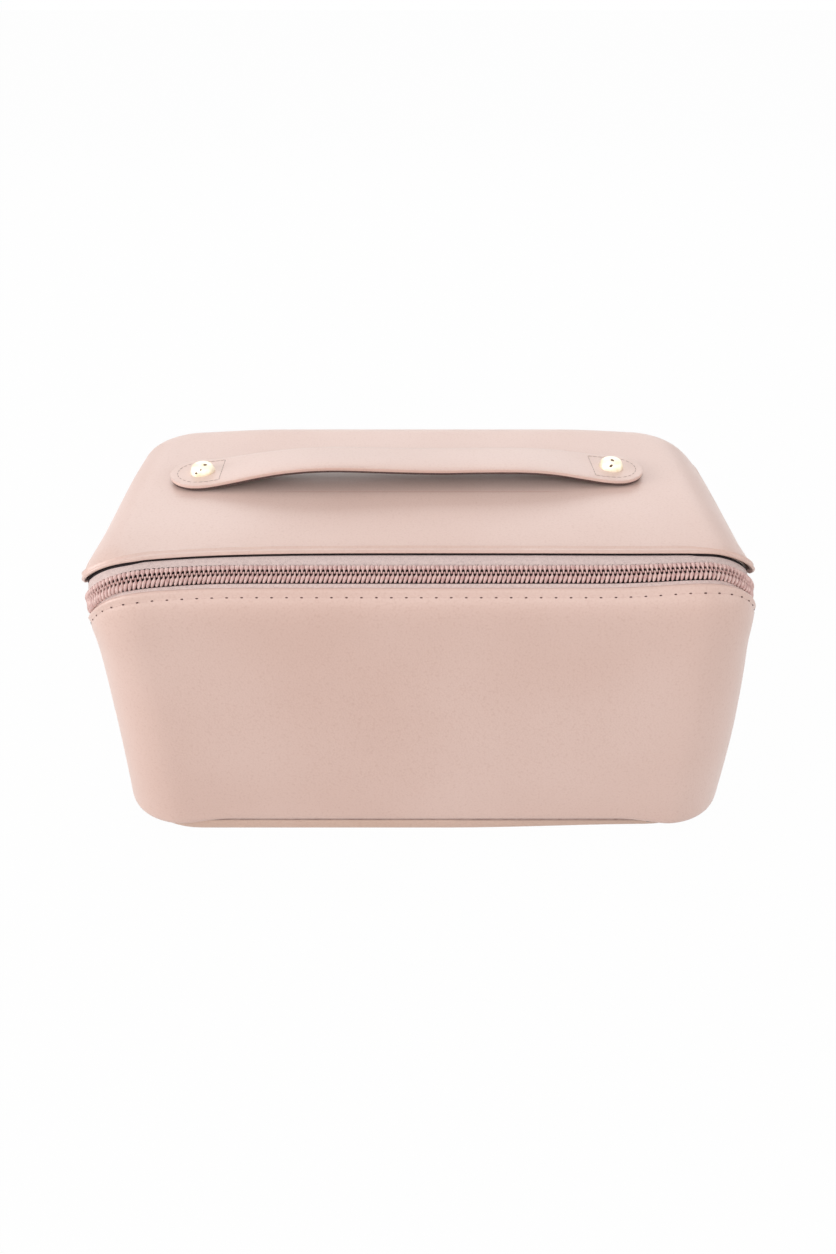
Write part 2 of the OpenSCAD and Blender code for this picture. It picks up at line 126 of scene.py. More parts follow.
def between(table, at):
    # a smooth curve through (place, value) pairs
    if at <= table[0][0]:
        return table[0][1]
    if at >= table[-1][0]:
        return table[-1][1]
    i = max(n for n in range(len(table) - 1) if table[n][0] <= at)
    slopes = []
    for n in (i, i + 1):
        a, b = table[max(0, n - 1)], table[min(len(table) - 1, n + 1)]
        slopes.append((b[1] - a[1]) / (b[0] - a[0]))
    span = table[i + 1][0] - table[i][0]
    k = (at - table[i][0]) / span
    return ((2 * k ** 3 - 3 * k ** 2 + 1) * table[i][1] + (k ** 3 - 2 * k ** 2 + k) * span * slopes[0]
            + (3 * k ** 2 - 2 * k ** 3) * table[i + 1][1] + (k ** 3 - k ** 2) * span * slopes[1])


def linear(colour):
    # an sRGB hex value, made linear
    parts = [int(colour[i:i + 2], 16) / 255 for i in (1, 3, 5)]
    return tuple(c / 12.92 if c <= 0.04045 else ((c + 0.055) / 1.055) ** 2.4 for c in parts) + (1.0,)


def addNode(tree, kind, settings=None, links=None):
    # one shader node, its settings and what feeds its inputs: a node, or a node and which of its outputs
    node = tree.nodes.new("ShaderNode" + kind)
    for key, value in (settings or {}).items():
        if key == "stops":
            elements = node.color_ramp.elements
            while len(elements) < len(value):
                elements.new(1.0)
            for element, (place, colour) in zip(elements, value):
                element.position = place
                element.color = linear(colour)
        elif isinstance(key, int) or not hasattr(node, key):
            node.inputs[key].default_value = value
        else:
            setattr(node, key, value)
    for key, link in (links or {}).items():
        source, output = link if isinstance(link, tuple) else (link, 0)
        tree.links.new(source.outputs[output], node.inputs[key])
    return node


def startMaterial(name, settings):
    material = bpy.data.materials.new(name)
    material.use_nodes = True
    shader = material.node_tree.nodes["Principled BSDF"]
    for key, value in settings.items():
        shader.inputs[key].default_value = value
    return material, material.node_tree, shader


def feedShader(tree, shader, colour, bump, output=0):
    tree.links.new(colour.outputs[output], shader.inputs["Base Color"])
    tree.links.new(bump.outputs["Normal"], shader.inputs["Normal"])


# Polyurethane leather cast on embossed paper: a soft low sheen, pebbles 0.7 mm across, and a bloom
# that pales it where the eye grazes it.
leatherLook = {"base": "#d7b9ae", "deep": "#d2b2a6", "pale": "#dcc0b6", "pebble": 0.7, "roughness": 0.46,
               # press: a groove where the strap's edge rests on the lid, with a darker tint along it as painted
               # shade
               "press": {"y": -4.2, "reach": 58, "fade": 14, "half": 0.4, "share": 0.75, "tint": "#d9a9a0"}}


def polyurethaneLeather(name, look, pressed):
    material, tree, shader = startMaterial(name, {
        "Roughness": look["roughness"], "IOR": 1.48, "Coat Weight": 0.4, "Coat Roughness": 0.42,
        "Sheen Weight": 0.22, "Sheen Roughness": 0.4})
    onPiece = {"Vector": (addNode(tree, "TexCoord"), "Object")}
    cloud = addNode(tree, "TexNoise", {"Scale": 1 / 0.09, "Detail": 2.0}, onPiece)
    shades = [(0.3, look["deep"]), (0.5, look["base"]), (0.7, look["pale"])]
    tint = addNode(tree, "ValToRGB", {"stops": shades}, {"Fac": cloud})
    pebble = addNode(tree, "TexVoronoi", {"Scale": 1 / (look["pebble"] * mm)}, onPiece)
    valley = addNode(tree, "ValToRGB", {"stops": [(0.0, "#ffffff"), (0.6, "#fbf8f6"), (1.0, "#efe6e2")]},
                     {"Fac": pebble})
    colour = addNode(tree, "Mix", {"data_type": "RGBA", "blend_type": "MULTIPLY", 0: 0.6},
                     {6: tint, 7: valley})
    wide = addNode(tree, "TexNoise", {"Scale": 1 / 0.05, "Detail": 1.0}, onPiece)
    swell = addNode(tree, "Bump", {"Strength": 0.12, "Distance": 1.2 * mm}, {"Height": wide})
    grain = addNode(tree, "Bump", {"Strength": 0.3, "Distance": 0.1 * mm},
                    {"Height": pebble, "Normal": swell})
    last = grain
    if pressed:
        # the line that the strap's edge has pressed into the lid: a groove in the bump, and a darker tint along it
        # that is painted shade
        line = look["press"]
        parts = addNode(tree, "SeparateXYZ", {}, onPiece)
        off = addNode(tree, "Math", {"operation": "SUBTRACT", 1: line["y"] * mm}, {0: (parts, "Y")})
        away = addNode(tree, "Math", {"operation": "ABSOLUTE"}, {0: off})
        falling = {"To Min": 1.0, "To Max": 0.0}
        across = addNode(tree, "MapRange", dict(falling, **{"From Min": 0.0, "From Max": line["half"] * mm}),
                         {"Value": away})
        side = addNode(tree, "Math", {"operation": "ABSOLUTE"}, {0: (parts, "X")})
        start, end = (line["reach"] - line["fade"]) * mm, line["reach"] * mm
        ends = addNode(tree, "MapRange", dict(falling, **{"From Min": start, "From Max": end}),
                       {"Value": side})
        mark = addNode(tree, "Math", {"operation": "MULTIPLY"}, {0: across, 1: ends})
        share = addNode(tree, "Math", {"operation": "MULTIPLY", 1: line["share"]}, {0: mark})
        paintedPressShade = {"data_type": "RGBA", "blend_type": "MULTIPLY", 7: linear(line["tint"])}
        colour = addNode(tree, "Mix", paintedPressShade, {0: share, 6: (colour, 2)})
        last = addNode(tree, "Bump", {"Strength": 0.5, "Distance": 0.25 * mm, "invert": True},
                       {"Height": mark, "Normal": grain})
    feedShader(tree, shader, colour, last, 2)
    return material


# Woven polyester tape: herringbone twill, its threads at a stated pitch, coarse enough to show.
def wovenTape(name, yarn, gap, pitch):
    material, tree, shader = startMaterial(name, {"Roughness": 0.85, "Sheen Weight": 0.25, "Sheen Roughness": 0.5})
    where = addNode(tree, "TexCoord")
    parts = addNode(tree, "SeparateXYZ", {}, {"Vector": (where, "UV")})
    turn = addNode(tree, "Math", {"operation": "PINGPONG", 1: 1.1 * mm}, {0: (parts, "Y")})
    along = addNode(tree, "Math", {"operation": "ADD"}, {0: (parts, "X"), 1: turn})
    angle = addNode(tree, "Math", {"operation": "MULTIPLY", 1: 2 * pi / (pitch * mm)}, {0: along})
    wave = addNode(tree, "Math", {"operation": "SINE"}, {0: angle})
    ridge = addNode(tree, "Math", {"operation": "MULTIPLY_ADD", 1: 0.5, 2: 0.5}, {0: wave})
    fuzz = addNode(tree, "TexNoise", {"Scale": 1 / (0.9 * mm), "Detail": 2.0}, {"Vector": (where, "Object")})
    mixed = addNode(tree, "Math", {"operation": "MULTIPLY_ADD", 1: 0.9}, {0: fuzz, 2: ridge})
    tint = addNode(tree, "ValToRGB", {"stops": [(0.3, gap), (0.75, yarn), (1.0, yarn)]}, {"Fac": mixed})
    weave = addNode(tree, "Bump", {"Strength": 0.6, "Distance": 0.15 * mm}, {"Height": ridge})
    feedShader(tree, shader, tint, weave)
    return material


# Plain woven cloth, hook tape, elastic, foam or fibreboard: threads or grain that cross at a stated pitch
# in all three directions, over a slow drift of shade.
def plainWeave(name, yarn, gap, pitch, roughness=0.9, sheen=0.2):
    material, tree, shader = startMaterial(name, {
        "Roughness": roughness, "Sheen Weight": sheen, "Sheen Roughness": 0.5})
    onPiece = {"Vector": (addNode(tree, "TexCoord"), "Object")}
    parts = addNode(tree, "SeparateXYZ", {}, onPiece)
    waves = []
    for axis in "XYZ":
        angle = addNode(tree, "Math", {"operation": "MULTIPLY", 1: pi / (pitch * mm)}, {0: (parts, axis)})
        wave = addNode(tree, "Math", {"operation": "SINE"}, {0: angle})
        waves.append(addNode(tree, "Math", {"operation": "ABSOLUTE"}, {0: wave}))
    flat = addNode(tree, "Math", {"operation": "MULTIPLY"}, {0: waves[0], 1: waves[1]})
    deep = addNode(tree, "Math", {"operation": "MULTIPLY_ADD"},
                   {0: flat, 1: waves[2], 2: flat})
    fuzz = addNode(tree, "TexNoise", {"Scale": 1 / (5 * mm), "Detail": 4.0}, onPiece)
    mixed = addNode(tree, "Math", {"operation": "MULTIPLY_ADD", 1: 0.6}, {0: fuzz, 2: deep})
    tint = addNode(tree, "ValToRGB", {"stops": [(0.15, gap), (0.8, yarn), (1.0, yarn)]}, {"Fac": mixed})
    weave = addNode(tree, "Bump", {"Strength": 0.35, "Distance": 0.1 * mm}, {"Height": deep})
    feedShader(tree, shader, tint, weave)
    return material


# Dyed nylon, drawn as wire or spun as thread: an even colour that drifts a little. The same mix also
# makes the strap's backing, whose dark brown is painted shade, the dark beads of painted shade in the needle
# holes, the near-black beds of the zip, partly cord and partly painted shade, the strip of painted shadow
# under the rim, and the brown marks of painted dark reflection on the studs.
def dyedNylon(name, base, dark, roughness, drift):
    material, tree, shader = startMaterial(name, {"Roughness": roughness, "IOR": 1.53})
    where = addNode(tree, "TexCoord")
    cloud = addNode(tree, "TexNoise", {"Scale": 1 / (drift * mm), "Detail": 2.0}, {"Vector": (where, "Object")})
    tint = addNode(tree, "ValToRGB", {"stops": [(0.3, dark), (0.6, base)]}, {"Fac": cloud})
    rough = addNode(tree, "Bump", {"Strength": 0.1, "Distance": 0.05 * mm}, {"Height": cloud})
    feedShader(tree, shader, tint, rough)
    return material


# Zinc casting, tumbled and plated pale gold: bright, with faint rub marks and small flats.
def plateGold(name, base, dark, flat, dent, gloss):
    material, tree, shader = startMaterial(name, {"Metallic": 1.0})
    onPiece = {"Vector": (addNode(tree, "TexCoord"), "Object")}
    cloud = addNode(tree, "TexNoise", {"Scale": 1 / (3 * mm), "Detail": 3.0}, onPiece)
    tint = addNode(tree, "ValToRGB", {"stops": [(0.3, dark), (0.55, base)]}, {"Fac": cloud})
    rub = addNode(tree, "MapRange", {"From Min": 0.3, "From Max": 0.7, "To Min": gloss[0], "To Max": gloss[1]},
                  {"Value": cloud})
    flats = addNode(tree, "TexVoronoi", {"Scale": 1 / (flat * mm)}, onPiece)
    beaten = addNode(tree, "Bump", {"Strength": 0.3, "Distance": dent * mm}, {"Height": flats})
    feedShader(tree, shader, tint, beaten)
    tree.links.new(rub.outputs["Result"], shader.inputs["Roughness"])
    return material


# Calendered soft PVC film: clear and glossy, with a slow ripple.
def clearFilm(name):
    material, tree, shader = startMaterial(name, {"Roughness": 0.08, "IOR": 1.53, "Transmission Weight": 0.94})
    where = addNode(tree, "TexCoord")
    ripple = addNode(tree, "TexNoise", {"Scale": 1 / (18 * mm), "Detail": 1.0}, {"Vector": (where, "Object")})
    tint = addNode(tree, "ValToRGB", {"stops": [(0.2, "#eef3f3"), (0.8, "#f8fbfb")]}, {"Fac": ripple})
    wavy = addNode(tree, "Bump", {"Strength": 0.2, "Distance": 1.0 * mm}, {"Height": ripple})
    feedShader(tree, shader, tint, wavy)
    return material


leather = polyurethaneLeather("polyurethaneLeather", leatherLook, False)
baseLeather = polyurethaneLeather(
    "darkerPolyurethaneLeather", dict(leatherLook, base="#ceb0a0", deep="#c9aa99", pale="#d2b5a7"), False)
lidSkin = polyurethaneLeather("pressedPolyurethaneLeatherWithPaintedShade", leatherLook, True)
tape = wovenTape("wovenZipTape", "#e2cbc5", "#a58a86", 0.55)
liningCloth = plainWeave("polyesterLining", "#b9968d", "#94736b", 0.5)
hookCloth = plainWeave("hookTape", "#cbb2aa", "#9c8078", 0.9, 0.95, 0.4)
elasticCloth = plainWeave("wovenElastic", "#a98b84", "#7c625c", 0.8)
foamSheet = plainWeave("closedCellFoam", "#e9e4dc", "#d8d0c6", 1.2, 0.95, 0.0)
fibreBoard = plainWeave("greyFibreboard", "#8d8781", "#6f6963", 2.0, 0.9, 0.0)
coilNylon = dyedNylon("nylonCoil", "#d9b8b1", "#bd948f", 0.38, 1.5)
# near-black: the zip's sewing dashes and the coil's inner cord, and painted shade in the coil's gaps and under the
# rim
darkCordAndPaintedShade = dyedNylon("darkSewingCordAndPaintedShade", "#1f0b0f", "#120608", 0.9, 1.0)
thread = dyedNylon("bondedThread", "#cfb0a6", "#c2a096", 0.6, 1.0)
# waxed thread for the box stitch, also the dark joint at the base as painted shade
waxedThreadAndPaintedJointShade = dyedNylon("waxedThreadAndPaintedJointShade", "#a88d83", "#94786f", 0.6, 2.0)
# the strap's backing: its dark brown is painted shade under the strap's edge
backingPaintedShade = dyedNylon("strapBackingPaintedShade", "#5d4844", "#4a3835", 0.95, 0.8)
needleHolePaintedShade = dyedNylon("needleHolePaintedShade", "#5b3a36", "#43292a", 0.9, 0.5)
darkReflectionPaint = dyedNylon("paintedDarkReflection", "#6f4e36", "#5a3f2c", 0.6, 1.0)
gold = plateGold("paleGoldPlate", "#f4ebd4", "#e6d6b0", 4.0, 0.015, (0.3, 0.42))
satinGold = plateGold("satinGoldPlate", "#f6eedb", "#ecdfc0", 4.0, 0.01, (0.52, 0.6))
film = clearFilm("clearPvcFilm")
print("materials made")


# the case's outer skin, in millimetres
case = {"width": 226, "depth": 132, "height": 109, "corner": 24, "roll": 16, "foot": 5.2,
        "lean": [(0, 1.2), (18, 1.7), (35, 1.9), (52, 1.6), (64, 1.2), (76, 0.5), (86, 0.0), (98, -0.4)],
        "lidLean": (0.4, 1.5), "swell": 0.9, "zipTuck": (-0.4, 0.7),
        # how far out, at which height and over how much of it
        "flare": {"lid": (1.2, 101, 7), "tub": (0.9, 86, 9)},
        # where each of these starts and over how much further it grows
        "leanUp": (96, 10), "leanBack": (0, 110), "cornerOut": (80, 24), "cornerFront": (20, 36),
        "swellTo": 95, "swellOut": (70, 40), "swellBack": (30, 30), "foldEnd": (-87, 5),
        "droop": 2.0, "droopOut": (56, 52), "droopBack": (12, 50), "droopUp": (92, 10)}
halfW, halfD = case["width"] / 2, case["depth"] / 2
cornerR, rollR = case["corner"], case["roll"]
rollFoot = case["height"] - rollR
rollArc = rollR * pi / 2
arcL = cornerR * pi / 2
straightX, straightY = halfW - cornerR, halfD - cornerR
# from the middle of the back, by the left side, the front and the right side
wayRound = [
    ("line", straightX, (0, halfD), (-1, 0)), ("arc", arcL, (-straightX, straightY), 90),
    ("line", 2 * straightY, (-halfW, straightY), (0, -1)), ("arc", arcL, (-straightX, -straightY), 180),
    ("line", 2 * straightX, (-straightX, -halfD), (1, 0)), ("arc", arcL, (straightX, -straightY), 270),
    ("line", 2 * straightY, (halfW, -straightY), (0, 1)), ("arc", arcL, (straightX, straightY), 0),
    ("line", straightX, (straightX, halfD), (-1, 0))]
wayLength = sum(part[1] for part in wayRound)


def outline(t, inset):
    # the point in plan and its outward direction, t along the way round
    t = min(max(t, 0), wayLength - 1e-6)
    for kind, length, place, turn in wayRound:
        if t <= length:
            break
        t -= length
    if kind == "line":
        out = Vector((turn[1], -turn[0]))
        return Vector(place) + Vector(turn) * t - out * inset, out
    angle = radians(turn) + t / cornerR
    out = Vector((cos(angle), sin(angle)))
    return Vector(place) + out * (cornerR - inset), out


def plainSkin(t, h, lift=0.0):
    # h is measured up the wall, over the roll and in across the top
    if h <= rollFoot:
        inset, z, tilt = 0.0, h, 0.0
    elif h <= rollFoot + rollArc:
        tilt = (h - rollFoot) / rollR
        inset, z = rollR * (1 - cos(tilt)), rollFoot + rollR * sin(tilt)
    else:
        inset, z, tilt = rollR + h - rollFoot - rollArc, case["height"], pi / 2
    point, out = outline(t, inset)
    normal = Vector((out.x * cos(tilt), out.y * cos(tilt), sin(tilt)))
    return Vector((point.x, point.y, z)) + normal * lift, normal


def droop(x, y, z):
    # the lid sinks towards its back corners
    depth = case["droop"]
    for at, way in ((abs(x), "droopOut"), (y, "droopBack"), (z, "droopUp")):
        depth *= growth(at, *case[way])
    return depth


def stuffed(p, part="inside"):
    # the padded case leans a little, flares at its front corners and swells between its edges
    x, y, z = p
    front, back = case["lidLean"]
    lidLean = front + (back - front) * growth(y + halfD, *case["leanBack"])
    x += between(case["lean"], z) - growth(z, *case["leanUp"]) * lidLean
    atCorner = growth(abs(x), *case["cornerOut"]) * growth(-y, *case["cornerFront"])
    if part in case["flare"]:
        flare, level, spread = case["flare"][part]
        out = flare * exp(-((z - level) / spread) ** 2)
    else:
        out = -case["zipTuck"][x > 0] if part == "zip" else 0
    x += out * atCorner * copysign(1, x)
    y -= out * atCorner * 0.4
    if part != "lid":
        z -= droop(x, y, z)
    if z < case["swellTo"] and part != "zip":
        puff = case["swell"] * sin(pi * max(0, z) / case["swellTo"])
        x += copysign(puff * growth(abs(x), *case["swellOut"]) * (0.6 + 0.4 * cos(y / halfD * 1.4)), x)
        y += copysign(puff * 0.6 * growth(abs(y), *case["swellBack"]) * cos(x / halfW * 1.3), y)
    return Vector((x, y, z))


def skin(t, h, lift=0.0, part="tub"):
    point, normal = plainSkin(t, h, lift)
    return stuffed(point, part), normal


# the seams that run round the case: where each starts on the front roll, its slope, its height at the
# sides, the radius of the bend between them, how far it bows and then lags towards the left-hand and
# right-hand corners, and its height at the fold
seams = {
    "rim": {"start": (17.2, 109.0), "slope": 68, "side": 93.0, "knee": 10, "bow": (-4.4, -0.8), "lag": (-0.8, 1.0),
            "fold": 88.3},
    "chain": {"start": (8.0, 106.86), "slope": 66, "side": 88.0, "knee": 12, "bow": (0, 0), "lag": (-3.0, 2.4),
              "fold": 88.0},
    "edge": {"start": (4.1, 103.6), "slope": 58, "side": 83.5, "knee": 12, "bow": (0, 0), "lag": (-2.4, 3.0),
             "fold": 87.7}}


def seamLevel(seam, x, y):
    # the seam's height in side view, at this depth from the front
    side = 0 if x < 0 else 1
    slope = radians(seam["slope"])
    y0, z0 = seam["start"]
    y0 += seam["bow"][side] * min(1, abs(x) / 94) ** 3.2 + seam["lag"][side] * ease((abs(x) - 60) / 50)
    kneeY = y0 + (z0 - seam["side"]) / tan(slope)
    run = seam["knee"] * tan(slope / 2)
    if y < kneeY - run * cos(slope):
        return z0 - (y - y0) * tan(slope)
    if y > kneeY + run:
        return seam["side"]
    inside = seam["knee"] ** 2 - (y - kneeY - run) ** 2
    return seam["side"] + seam["knee"] - sqrt(max(0, inside))


seamHeights = {}


def foldShare(t):
    # 1 along the fold at the back, and 0 beyond its ends
    point = plainSkin(t, 80)[0]
    return growth(-abs(point.x), *case["foldEnd"]) if point.y > halfD - 1 else 0


def seamRoot(name, t):
    # where the seam crosses the plain skin at this station
    key = (name, round(t, 3))
    if key not in seamHeights:
        seam = seams[name]
        low, high = 40.0, rollFoot + rollArc + 4
        for _ in range(36):
            middle = (low + high) / 2
            point = plainSkin(t, middle)[0]
            if point.z < seamLevel(seam, point.x, point.y + halfD):
                low = middle
            else:
                high = middle
        height = (low + high) / 2
        seamHeights[key] = height + (seam["fold"] - height) * foldShare(t)
    return seamHeights[key]


def seamHeight(name, t):
    # how far up the skin the seam lies at this station, evened out over a few millimetres
    shares = ((-8, 1), (-4, 2), (0, 3), (4, 2), (8, 1))
    return sum(seamRoot(name, t + step) * share for step, share in shares) / sum(share for _, share in shares)


def stations(first, last, step):
    # places along the way round, closer together in the corners
    marks, at = [], 0.0
    for kind, length, *_ in wayRound:
        count = max(2, ceil(length / (step if kind == "line" else step * 0.6)))
        marks += [at + length * i / count for i in range(count + 1)]
        at += length
    marks = sorted({round(m, 4) for m in marks if first + 0.3 < m < last - 0.3})
    return [first] + marks + [last]


def wrapGrid(name, columns, rows, place):
    # a flat grid, wrapped by place(column, row), which gives a point and its place in the pattern in mm
    deselectAll()
    bpy.ops.mesh.primitive_grid_add(x_subdivisions=columns, y_subdivisions=rows, size=2)
    piece = bpy.context.object
    piece.name = name
    mesh = piece.data
    index = [(round((v.co.x + 1) / 2 * columns), round((v.co.y + 1) / 2 * rows)) for v in mesh.vertices]
    placed = {key: place(*key) for key in set(index)}
    for vertex, key in zip(mesh.vertices, index):
        vertex.co = placed[key][0] * mm
    for loop in mesh.loops:
        u, v = placed[index[loop.vertex_index]][1]
        mesh.uv_layers.active.data[loop.index].uv = (u * mm, v * mm)
    editAll(piece)
    bpy.ops.mesh.remove_doubles(threshold=0.01 * mm)
    leaveEdit()
    return piece


# tub: the foot curls under, the top edge is a narrow roll above its stitching
tub = {"thickness": 1.2, "ease": 0.35, "step": 3.2, "rows": 24, "droop": 2.6,
       "foot": [(0.0, -1.3), (0.2, -0.6), (0.6, -0.18), (1.4, 0.0), (3.0, 0.06), (5.5, 0.0)],
       "edge": [(0.0, -0.5), (0.25, -0.12), (0.6, 0.14), (1.0, 0.28), (1.5, 0.24), (2.2, 0.06), (2.8, -0.04),
                (3.3, -0.12), (3.9, -0.02), (5.0, 0.04), (7.0, 0.02), (10.0, 0.0)]}
allStations = stations(0, wayLength, tub["step"])


def cornerShare(t, first, span):
    # 0 along the straights and 1 round the upright corners
    point = plainSkin(t, 40)[0]
    return growth(abs(point.x), first, span) * growth(abs(point.y), 38, 18)


def tubPoint(column, row):
    t = allStations[column]
    top = seamHeight("edge", t)
    low = case["foot"] - tub["droop"] * cornerShare(t, 72, 20)
    feet, edges = len(tub["foot"]), len(tub["edge"])
    if row < feet:
        rise, lift = tub["foot"][row]
        h = low + rise
    elif row >= feet + tub["rows"]:
        drop, lift = tub["edge"][feet + tub["rows"] + edges - 1 - row]
        h = top - drop
    else:
        low, high = low + tub["foot"][-1][0], top - tub["edge"][-1][0]
        h, lift = low + (high - low) * (row - feet + 1) / (tub["rows"] + 1), 0.0
    return skin(t, h, lift, "tub")[0], (t, h)


tubRows = len(tub["foot"]) + tub["rows"] + len(tub["edge"])
tubLeather = wrapGrid("tubLeather", len(allStations) - 1, tubRows - 1, tubPoint)
thicken(tubLeather, tub["thickness"])
easeEdges(tubLeather, tub["ease"])
smooth(tubLeather, 50)
finishPiece(tubLeather, leather, "tub", "leather", "tub_cover")
print("tub leather wrapped")

# base: a leather-covered panel, set back under the tub, with a dark sewn joint above it whose dark colour is
# painted shade in the recess
base = {"height": 4.3, "inset": 1.0, "edge": 0.5, "corner": 30, "joint": (3.9, 5.6), "jointInset": 1.05,
        "slack": 2.0, "slackOut": (10, 80), "cuts": range(-70, 80, 10)}


def panelBlock(name, low, high, inset, slack):
    # a block of the case's plan, its upright corners rounded and its front edge drawn back on the right
    deselectAll()
    bpy.ops.mesh.primitive_cube_add(size=1, location=(case["lean"][0][1] * mm, 0, (low + high) / 2 * mm))
    piece = bpy.context.object
    piece.name = name
    piece.scale = ((case["width"] - 2 * inset) * mm, (case["depth"] - 2 * inset) * mm, (high - low) * mm)
    settlePlace(piece)
    editAll(piece, "EDGE", "DESELECT")
    leaveEdit()
    for edge in piece.data.edges:
        a, b = (piece.data.vertices[i].co for i in edge.vertices)
        edge.select = abs(a.z - b.z) > 1 * mm
    bpy.ops.object.mode_set(mode="EDIT")
    bpy.ops.mesh.bevel(offset=(base["corner"] - inset) * mm, segments=14, affect="EDGES")
    for x in base["cuts"]:
        bpy.ops.mesh.select_all(action="SELECT")
        bpy.ops.mesh.bisect(plane_co=(x * mm, 0, 0), plane_no=(1, 0, 0))
    leaveEdit()
    for vertex in piece.data.vertices:
        if vertex.co.y < 0:
            vertex.co.y += slack * mm * growth(vertex.co.x / mm, *base["slackOut"])
    return piece


basePiece = panelBlock("basePanel", 0, base["height"], base["inset"], base["slack"])
easeEdges(basePiece, base["edge"], 4, 60)
smooth(basePiece)
finishPiece(basePiece, baseLeather, "tub", "leather", "base_panel")
# the joint's dark colour is painted shade in the recess where the tub's foot curls under
jointPiece = panelBlock("baseJointPaintedShade", *base["joint"], base["jointInset"], 0)
finishPiece(jointPiece, waxedThreadAndPaintedJointShade, "tub", "leather")
print("base panel made")

# lid: one skin with a puffed rim, a crease behind it, and a filled top
lid = {"thickness": 1.2, "ease": 0.3, "fillWithin": (19, 20), "rows": 16,
       "reach": rollFoot + rollArc + 8,
       "rim": [(0.0, -0.3), (0.1, 0.1), (0.4, 0.4), (0.9, 0.55), (1.5, 0.5), (2.0, 0.3), (2.6, 0.55), (3.2, 0.8),
               (3.8, 0.75), (4.4, 0.3), (4.8, -0.02), (5.2, 0.0)]}


def lidPoint(column, row):
    t = allStations[column]
    low = seamHeight("rim", t)
    rims = len(lid["rim"])
    if row < rims:
        rise, lift = lid["rim"][row]
        h, lift = low + rise, lift * (1 - foldShare(t))
    else:
        start = low + lid["rim"][-1][0]
        h, lift = start + (lid["reach"] - start) * (row - rims + 1) / lid["rows"], 0.0
    return skin(t, h, lift, "lid")[0], (t, h)


lidLeather = wrapGrid("lidLeather", len(allStations) - 1, len(lid["rim"]) - 1 + lid["rows"], lidPoint)
# the open edge round the middle of the top, and not the one along the rim, is filled
innerX, innerY = halfW - lid["fillWithin"][0], halfD - lid["fillWithin"][1]
edgeUse = {}
for polygon in lidLeather.data.polygons:
    for key in polygon.edge_keys:
        edgeUse[key] = edgeUse.get(key, 0) + 1
editAll(lidLeather, "EDGE", "DESELECT")
leaveEdit()
for edge in lidLeather.data.edges:
    place = lidLeather.data.vertices[edge.vertices[0]].co
    edge.select = edgeUse[edge.key] == 1 and abs(place.x) < innerX * mm and abs(place.y) < innerY * mm
bpy.ops.object.mode_set(mode="EDIT")
bpy.ops.mesh.fill_grid()
leaveEdit()
for vertex in lidLeather.data.vertices:
    x, y, z = vertex.co / mm
    vertex.co.z -= droop(x, y, z) * mm
thicken(lidLeather, lid["thickness"])
easeEdges(lidLeather, lid["ease"])
smooth(lidLeather, 50)
finishPiece(lidLeather, lidSkin, "lid", "leather", "lid_cover", "lid_rim")
print("lid leather wrapped")

# zip: two tapes and a selvedge over the lower one, two dark sewn beds that are partly the coil's cord and partly
# painted shade, a dark strip of painted shadow under the rim, two rows of coil turns and the sewing above them
zipper = {"first": 84.6, "pitch": 1.5, "slant": -18, "dash": (1.3, 0.44, 0.3), "dashRise": 3.3, "dashLift": -0.62,
          "tapeLift": -1.1, "bedLift": -0.95, "turnLift": -0.3, "tapeThick": 0.5,
          "upper": [(2.8, 0.5, 0.2), (2.5, 0.74, 0.45), (1.9, 0.77, 0.7), (1.35, 0.74, 0.78), (1.1, 0.36, 0.72),
                    (0.5, 0.25, 0.66), (0.0, 0.36, 0.6), (-0.3, 0.2, 0.3)],
          "lower": [(3.6, 0.25, 0.3), (3.2, 0.5, 0.62), (2.6, 0.58, 0.8), (1.95, 0.76, 0.84), (1.4, 0.74, 0.8),
                    (1.1, 0.36, 0.72), (0.5, 0.25, 0.66), (0.0, 0.36, 0.6), (-0.3, 0.2, 0.3)]}
zipFirst, zipLast = zipper["first"], wayLength - zipper["first"]
zipStations = stations(zipFirst, zipLast, 3.0)


def strip(name, low, high, rows, lift, thickness):
    # a strip that lies between two seams; low and high are (seam, rise above it, further rise at the corners)
    def place(column, row):
        t = zipStations[column]
        bottom = seamHeight(low[0], t) + low[1] + (low[2] * cornerShare(t, 88, 14) if len(low) > 2 else 0)
        top = seamHeight(high[0], t) + high[1]
        h = bottom + (top - bottom) * row / rows
        return skin(t, h, lift, "zip")[0], (t, h)
    piece = wrapGrid(name, len(zipStations) - 1, rows, place)
    thicken(piece, thickness)
    smooth(piece)
    return piece


lift, bed, thick = zipper["tapeLift"], zipper["bedLift"], zipper["tapeThick"]
for name, low, high, rows, raised, thickness, material, body, slotName, *nodes in (
        ("zipTapeLower", ("edge", -3.0), ("chain", -0.35), 6, lift, thick, tape, "tub", "tape", "zip_tape_lower"),
        ("zipTapeSelvedge", ("edge", -1.0), ("chain", -3.75), 3, -0.55, 0.35, tape, "tub", "tape"),
        ("zipTapeUpper", ("chain", 0.35), ("rim", 3.0), 8, lift, thick, tape, "lid", "tape", "zip_tape_upper"),
        # the beds: partly the coil's inner cord, partly painted shade in the gaps between its turns
        ("zipBedLower", ("chain", -3.9), ("chain", -0.05), 3, bed, thick, darkCordAndPaintedShade, "tub", "coil"),
        ("zipBedUpper", ("chain", 0.05), ("chain", 2.7), 3, bed, thick, darkCordAndPaintedShade, "lid", "coil"),
        # a near-black strip on the tape: painted shadow under the rim's edge, wider at the corners
        ("rimShadowCord", ("rim", -0.02, -0.7), ("rim", 1.5), 2, -0.95, 0.3, darkCordAndPaintedShade, "lid", "tape")):
    finishPiece(strip(name, low, high, rows, raised, thickness), material, body, slotName, *nodes)


